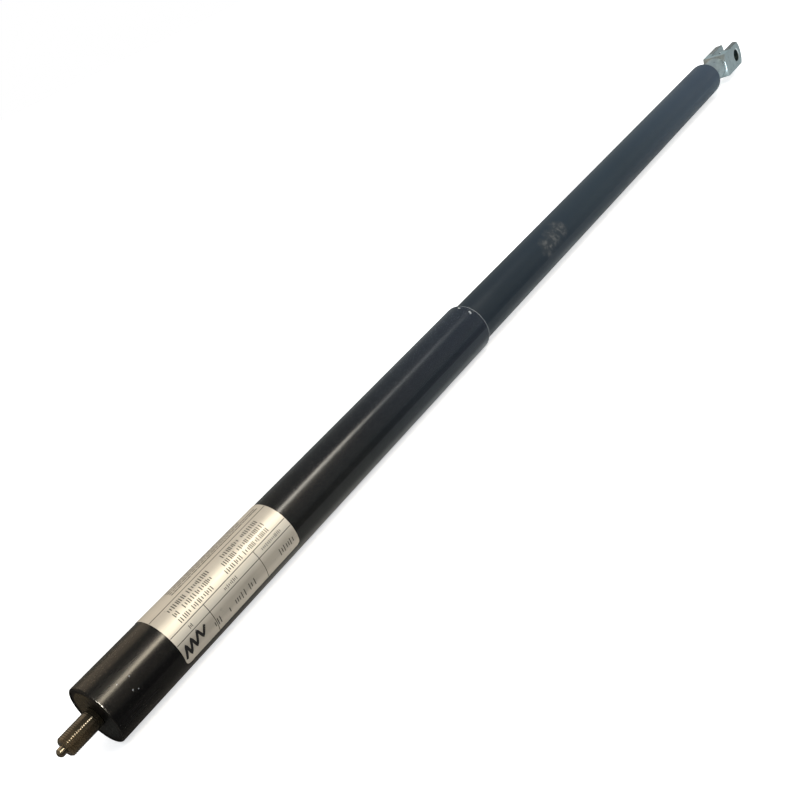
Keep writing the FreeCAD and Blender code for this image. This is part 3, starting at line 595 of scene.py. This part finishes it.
def threaded_rod(material):
    """The whole hollow rod as one turned mesh, with a true helical thread at its end."""
    spigot_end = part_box("piston_body")[1][0]
    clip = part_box("rod_circlip")
    clip_start, clip_end = clip[0][0] - CIRCLIP_GAP, clip[1][0]
    relief_start = COVER_END - RELIEF_LENGTH
    stations = [(ROD_START, ROD_BORE), (ROD_START, SPIGOT_RADIUS),
                (spigot_end, SPIGOT_RADIUS), (spigot_end, ROD_RADIUS),
                (clip_start, ROD_RADIUS), (clip_start, ROD_RADIUS - CIRCLIP_GROOVE),
                (clip_end, ROD_RADIUS - CIRCLIP_GROOVE), (clip_end, ROD_RADIUS),
                (relief_start, ROD_RADIUS), (relief_start, ROD_RADIUS - RELIEF_DEPTH),
                (COVER_END, ROD_RADIUS - RELIEF_DEPTH)]
    turns = [2 * math.pi * k / ROD_SIDES for k in range(ROD_SIDES)]
    rings = [[station] * ROD_SIDES for station in stations]
    count = int(round((ROD_END - COVER_END) / THREAD_PITCH * STEPS_PER_PITCH))
    for index in range(count + 1):
        along = COVER_END + (ROD_END - COVER_END) * index / count
        rings.append([(along, thread_radius(along, turn)) for turn in turns])
    rings.append([(ROD_END, ROD_BORE + ROD_MOUTH)] * ROD_SIDES)
    rings.append([(ROD_END - ROD_MOUTH, ROD_BORE)] * ROD_SIDES)

    vertices, faces = [], []
    for ring in rings:
        for turn, (along, radius) in zip(turns, ring):
            vertices.append((along, radius * math.cos(turn), radius * math.sin(turn)))
    for row in range(len(rings)):
        start, after = row * ROD_SIDES, (row + 1) % len(rings) * ROD_SIDES
        for k in range(ROD_SIDES):
            side = (k + 1) % ROD_SIDES
            faces.append((start + k, start + side, after + side, after + k))
    return mesh_object("threaded_rod", vertices, faces, material, ROD_SHARP_ANGLE)


def on_label(along, angle, lift):
    """A point on the label: a place along X, an angle in degrees and a height above the tube."""
    slant = LABEL_SKEW * (LABEL_HIGH - along) / (LABEL_HIGH - LABEL_LOW)
    return spot_on(COVER_RADIUS + lift, along, angle + slant)


def corner_cut(along):
    """The angle that a rounded corner takes off the label's side at a place along X."""
    inset = min(along - LABEL_LOW, LABEL_HIGH - along)
    if inset >= LABEL_CORNER:
        return 0.0
    gap = LABEL_CORNER - inset
    cut = LABEL_CORNER - math.sqrt(max(LABEL_CORNER ** 2 - gap ** 2, 0.0))
    return math.degrees(cut / COVER_RADIUS)


def label_columns():
    """Places along X, close together over the rounded corners."""
    corner = [LABEL_CORNER * (1 - math.cos(math.pi / 2 * k / CORNER_STEPS))
              for k in range(CORNER_STEPS + 1)]
    straight = LABEL_HIGH - LABEL_LOW - 2 * LABEL_CORNER
    middle = [LABEL_LOW + LABEL_CORNER + straight * k / MIDDLE_STEPS
              for k in range(1, MIDDLE_STEPS)]
    return ([LABEL_LOW + inset for inset in corner] + middle
            + [LABEL_HIGH - inset for inset in reversed(corner)])


def make_label(material):
    """A thin closed sheet with rounded corners, curved round the tube."""
    columns = label_columns()
    rows, width = len(columns), LABEL_SIDES + 1
    layer = rows * width
    vertices, faces = [], []
    for lift in (LABEL_GAP, LABEL_GAP + LABEL_THICKNESS):
        for along in columns:
            cut = corner_cut(along)
            start, stop = LABEL_ANGLES[0] + cut, LABEL_ANGLES[1] - cut
            for k in range(width):
                angle = start + (stop - start) * k / LABEL_SIDES
                vertices.append(on_label(along, angle, lift))
    for row in range(rows - 1):
        for k in range(LABEL_SIDES):
            first = row * width + k
            faces.append(quad(first, 1, width))
            faces.append(quad(first + layer, width, 1))
    for row in range(rows - 1):
        for k in (0, LABEL_SIDES):
            faces.append(quad(row * width + k, width, layer))
    for row in (0, rows - 1):
        for k in range(LABEL_SIDES):
            faces.append(quad(row * width + k, 1, layer))
    return mesh_object("label", vertices, faces, material, LABEL_SHARP_ANGLE)


def fine_path(points):
    """The same path in short steps, so that it follows the tube."""
    path = [points[0]]
    for start, end in zip(points, points[1:]):
        parts = max(1, math.ceil(math.dist(start, end) / PRINT_STEP))
        for k in range(1, parts + 1):
            path.append(tuple(s + (e - s) * k / parts for s, e in zip(start, end)))
    return path


def printed(name, strokes, material):
    """Ink as thin raised ribbons. A stroke is its points, mm from the rod end's edge and an
    angle in degrees, and its width in mm."""
    vertices, faces = [], []
    low = LABEL_GAP + LABEL_THICKNESS * PRINT_ROOT
    high = LABEL_GAP + LABEL_THICKNESS + PRINT_HEIGHT
    mm_per_degree = math.radians(COVER_RADIUS / MM)
    for points, width in strokes:
        path = fine_path([(x, angle * mm_per_degree) for x, angle in points])
        base = len(vertices)
        for index, (x, y) in enumerate(path):
            before, after = path[max(index - 1, 0)], path[min(index + 1, len(path) - 1)]
            run = Vector((after[0] - before[0], after[1] - before[1])).normalized()
            for side, lift in ((-1, low), (-1, high), (1, high), (1, low)):
                sideways = side * width / 2
                along = LABEL_HIGH - (x - run.y * sideways) * MM
                vertices.append(on_label(along, (y + run.x * sideways) / mm_per_degree, lift))
        for row in range(len(path) - 1):
            for side in range(4):
                a, b = base + 4 * row + side, base + 4 * row + (side + 1) % 4
                faces.append((a, b, b + 4, a + 4))
        for end in (base, base + 4 * (len(path) - 1)):
            faces.append(tuple(end + side for side in range(4)))
    return mesh_object(name, vertices, faces, material)


def ruled_lines():
    """The label's long lines and the two cross lines in its lower bands."""
    end = (LABEL_HIGH - LABEL_LOW) / MM - RULED_INSET
    foot = LABEL_ANGLES[0] + CROSS_MARGIN
    strokes = [([(RULED_INSET, angle), (end, angle)], RULED_WIDTH) for angle in RULED_ANGLES]
    strokes += [([(place, foot), (place, RULED_ANGLES[1])], RULED_WIDTH) for place in CROSS_PLACES]
    return strokes


def ticks(start, end, angle, style):
    """A group of plain upright ticks of uneven height, set like print."""
    height, pitch, width = style
    strokes, place = [], start
    while place < end:
        reach = height / 2 * random.choice(TICK_HEIGHTS)
        strokes.append(([(place, angle - reach), (place, angle + reach)], width))
        place += pitch * random.uniform(*TICK_SPREAD)
    return strokes


def fine_marks():
    """Rows of short dashes in the upper band."""
    strokes = []
    for angle, start, end in FINE_ROWS:
        place = start
        while place < end:
            length = min(random.uniform(*DASH_LENGTHS), end - place)
            strokes.append(([(place, angle), (place + length, angle)], DASH_WIDTH))
            place += length + random.uniform(*DASH_GAPS)
    return strokes


def main_marks():
    """Three rows in two blocks, and the small groups between the ruled lines."""
    strokes = []
    for angle, groups in MAIN_ROWS:
        for start, end in groups:
            strokes += ticks(start, end, angle, MAIN_TICKS)
    for start, end in SMALL_GROUPS:
        strokes += ticks(start, end, SMALL_ANGLE, SMALL_TICKS)
    return strokes


def stamped_marks():
    """Groups of tall thin ticks in the lowest band."""
    strokes = []
    for start, end, angle in STAMPED_GROUPS:
        strokes += ticks(start, end, angle, STAMPED_TICKS)
    return strokes


def build():
    """Give every CAD node its material, and make the rod, the label and the label's marks."""
    paints = {"zinc_steel": zinc(), "slate_black_paint": slate_paint(),
              "black_paint": cover_paint(), "end_plate_paint": end_plate_paint(),
              "phosphated_rod": phosphate(), "label_foil": foil()}
    for name, (colour, rough, speck) in METALS.items():
        paints[name] = metal(name, colour, rough, speck)
    for name, (colour, rough) in SOFT.items():
        paints[name] = moulded(name, colour, rough)
    for part in frame["record"]["subparts"]:
        node = frame["nodes"][part["node"]]
        look = "end_plate_paint" if part["node"] == "tube_end_plate" else part["material_slot"]
        node.data.materials.clear()
        node.data.materials.append(paints[look])
        for polygon in node.data.polygons:
            polygon.material_index = 0

    rod = threaded_rod(paints["phosphated_rod"])
    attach(rod, "rod")
    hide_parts("piston_rod")

    label = make_label(paints["label_foil"])
    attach(label, "rod")
    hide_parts("foil_label")

    prints = [
        printed("label_lines", ruled_lines(), ink("line_ink", LINE_INK)),
        printed("label_fine_marks", fine_marks(), ink("fine_ink", FINE_INK)),
        printed("label_main_marks", main_marks(), ink("main_ink", MAIN_INK)),
        printed("label_stamped_marks", stamped_marks(), ink("stamp_ink", STAMP_INK)),
        printed("label_pen_line", [(PEN_POINTS, PEN_WIDTH)], ink("pen_ink", PEN_INK)),
    ]
    for piece in prints:
        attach(piece, "rod")


def stage_material():
    """White paper to the camera. In reflections it is dim by the rod end and away from the tube,
    and brighter right under it."""
    n = Look("floor_white")
    rays = n.add("ShaderNodeLightPath").outputs
    x, y, _ = n.axes()
    off_centre = n.math("ABSOLUTE", y)
    aside = n.range(off_centre, 40 * MM, 130 * MM, 0.0, 0.5)
    front = n.times(n.range(y, 30 * MM, 55 * MM, 0.0, 0.8), n.range(x, 150 * MM, 330 * MM))
    under = n.times(n.range(off_centre, 18 * MM, 9 * MM),
                    n.range(x, 150 * MM, 360 * MM, 0.7, 1.35))
    mirrored = n.ramp(n.range(x, COVER_END, TUBE_START), FLOOR_MIRRORED)
    mirrored = n.mix(n.highest(aside, front), mirrored, BLACK)
    mirrored = n.vector("SCALE", {0: mirrored, "Scale": n.plus(under, 1.0)})
    base = n.mix(rays["Is Glossy Ray"], FLOOR_WHITE, mirrored)
    from_middle = n.vector("SUBTRACT", {0: n.place, 1: FLOOR_MIDDLE})
    distance = n.vector("LENGTH", {0: n.scaled(GLOW_SHAPE, from_middle)}, "Value")
    glow = n.times(rays["Is Camera Ray"], n.range(distance, *GLOW_REACH, *FLOOR_GLOW))
    return n.finish(Base_Color=base, Roughness=0.9, Specular_IOR_Level=0.0, Emission_Color=WHITE,
                    Emission_Strength=glow)


def make_stage():
    """A plain floor just under the part."""
    height = -COVER_RADIUS - FLOOR_GAP
    corners = [(FLOOR_HALF_SIZE * x, FLOOR_HALF_SIZE * y, height)
               for x, y in ((-1, -1), (1, -1), (1, 1), (-1, 1))]
    mesh = bpy.data.meshes.new("floor")
    mesh.from_pydata(corners, [], [(0, 1, 2, 3)])
    mesh.materials.append(stage_material())
    floor = bpy.data.objects.new("floor", mesh)
    bpy.context.scene.collection.objects.link(floor)


def make_world():
    """A pale room that lights the part, mirrored in other colours, behind a white backdrop that
    only the camera sees."""
    world = bpy.data.worlds.new("studio")
    world.use_nodes = True
    n = Graph(world.node_tree, "Generated")
    x, _, z = n.axes()
    rays = n.add("ShaderNodeLightPath").outputs
    past_fork = n.range(x, *PAST_FORK)
    mirrored = n.vector("MULTIPLY_ADD", {0: n.ramp(past_fork, ROOM_BAND),
                                         1: n.range(z, *BAND_FADES),
                                         2: n.ramp(past_fork, ROOM_MIRRORED)})

    def background(colour):
        return n.add("ShaderNodeBackground", {"Color": colour}).outputs[0]

    def choose(ray, otherwise, chosen):
        inputs = {"Fac": rays[ray], 1: otherwise, 2: chosen}
        return n.add("ShaderNodeMixShader", inputs).outputs[0]

    n.tree.nodes.remove(n.tree.nodes["Background"])
    room = choose("Is Glossy Ray", background(ROOM_COLOUR), background(mirrored))
    seen = choose("Is Camera Ray", room, background(WHITE))
    n.put(n.tree.nodes["World Output"].inputs["Surface"], seen)
    bpy.context.scene.world = world


def make_camera():
    """A camera at the photograph's place: near the rod end, looking along the spring."""
    data = bpy.data.cameras.new("camera")
    data.lens = CAMERA_LENS
    data.sensor_width = CAMERA_SENSOR
    data.clip_start, data.clip_end = CAMERA_CLIP
    forward = Vector(CAMERA_FORWARD).normalized()
    right = forward.cross(Vector(CAMERA_UP)).normalized()
    turn = Matrix((right, right.cross(forward), -forward)).transposed()
    camera = bpy.data.objects.new("camera", data)
    camera.matrix_world = Matrix.Translation(CAMERA_PLACE) @ turn.to_4x4()
    bpy.context.scene.collection.objects.link(camera)
    bpy.context.scene.camera = camera


def area_light(name, location, target, along, size, radiance, colour):
    """A soft box of a given brightness. Its long side follows a direction."""
    data = bpy.data.lights.new(name, "AREA")
    data.shape = "RECTANGLE"
    data.size, data.size_y = size
    data.energy = radiance * math.pi * size[0] * size[1]
    data.color = colour
    back = (Vector(location) - Vector(target)).normalized()
    side = Vector(along)
    side = (side - back * side.dot(back)).normalized()
    turn = Matrix((side, back.cross(side), back)).transposed()
    lamp = bpy.data.objects.new(name, data)
    lamp.matrix_world = Matrix.Translation(location) @ turn.to_4x4()
    bpy.context.scene.collection.objects.link(lamp)
    return lamp


def mirrored_only(card, node):
    """Let a light be seen in reflections on one CAD node and nowhere else."""
    card.visible_diffuse = False
    card.visible_camera = False
    lit = bpy.data.collections.new(card.name + "_lights")
    lit.objects.link(frame["nodes"][node])
    card.light_linking.receiver_collection = lit


def make_lights():
    """A ceiling lamp in three lengths, faint over the fork end, a broad box behind, and two small
    cards that only reflections see, on the tube's rim and on the fork's cone."""
    ceiling, upright = (-0.48, -0.24, 0.0), (0, 0, 1)
    area_light("lamp_near", location=(0.528, 0.445, 0.60), target=(0.70, 0, 0), along=ceiling,
               size=(0.26, 0.135), radiance=17.5, colour=(1.0, 0.88, 0.68))
    area_light("lamp_middle", location=(0.307, 0.2565, 0.60), target=(0.62, 0, 0), along=ceiling,
               size=(0.25, 0.075), radiance=19, colour=(1.0, 0.95, 0.84))
    area_light("lamp_far", location=(0.045, 0.192, 0.60), target=(0.50, 0, 0), along=ceiling,
               size=(0.22, 0.09), radiance=1.7, colour=(0.92, 0.97, 1.0))
    area_light("behind", location=(0.55, -0.66, 0.74), target=(0.75, 0, 0), along=(1, 0, 0),
               size=(0.62, 0.80), radiance=0.8, colour=(1.0, 0.78, 0.54))
    rim_card = area_light("rim_card", location=(0.9405, 0.177, 0.127),
                          target=(0.7905, 0.012, 0.007), along=upright, size=(0.08, 0.08),
                          radiance=90.0, colour=(1.0, 0.93, 0.78))
    cone_card = area_light("cone_card", location=(0.0405, 0.0190, -0.0075),
                           target=(0.028, 0.0120, -0.0080), along=upright, size=(0.0225, 0.016),
                           radiance=5.5, colour=(0.90, 0.97, 1.0))
    mirrored_only(rim_card, "protective_tube")
    mirrored_only(cone_card, "clevis")


build()
make_stage()
make_world()
make_camera()
make_lights()
bpy.context.scene.view_settings.view_transform = "Standard"
